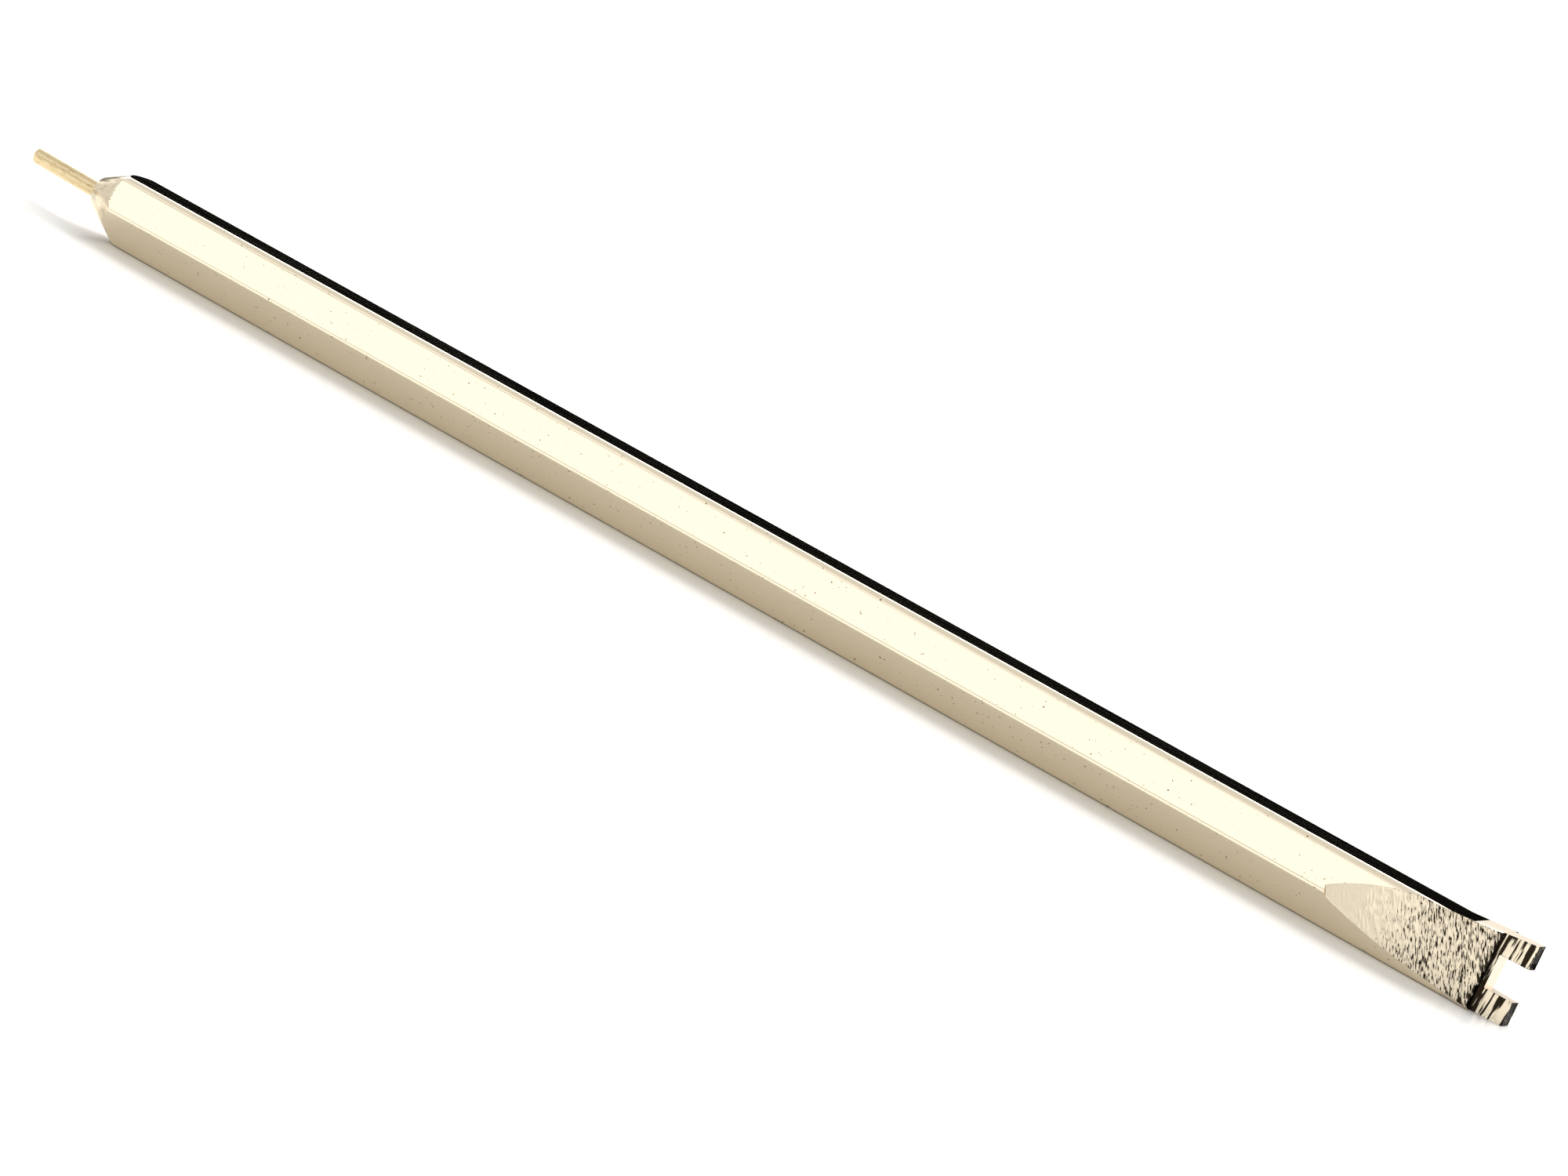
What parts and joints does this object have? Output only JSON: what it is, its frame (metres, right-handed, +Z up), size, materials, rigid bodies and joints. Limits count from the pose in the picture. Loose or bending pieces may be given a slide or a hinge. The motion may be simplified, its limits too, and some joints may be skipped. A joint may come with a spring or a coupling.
{
  "type": "spring bar tool",
  "caption": "Slim hexagonal steel bar with a push pin pressed in its turned nose and a ground, slotted fork at its other end, for fitting and removing watch strap spring bars.",
  "frame": {"origin": "on the surface the tool lies on, under the middle of its length, on the bar's own centre line in Y", "axes": "+X along the bar towards the fork, +Z up out of the surface it lies on, +Y across the bar; the push pin points to -X"},
  "size_m": [0.13, 0.0056, 0.0055],
  "materials": {
    "nickel_plated_steel": "bright nickel plate over drawn steel, with coarse slanted grinding marks on the blade and file marks on the tines",
    "pin_steel": "turned steel, fine rings, slightly warmer than the bar"
  },
  "bodies": {
    "root": {"forked_hex_handle": "nickel_plated_steel", "push_pin": "pin_steel"}
  },
  "joints": []
}
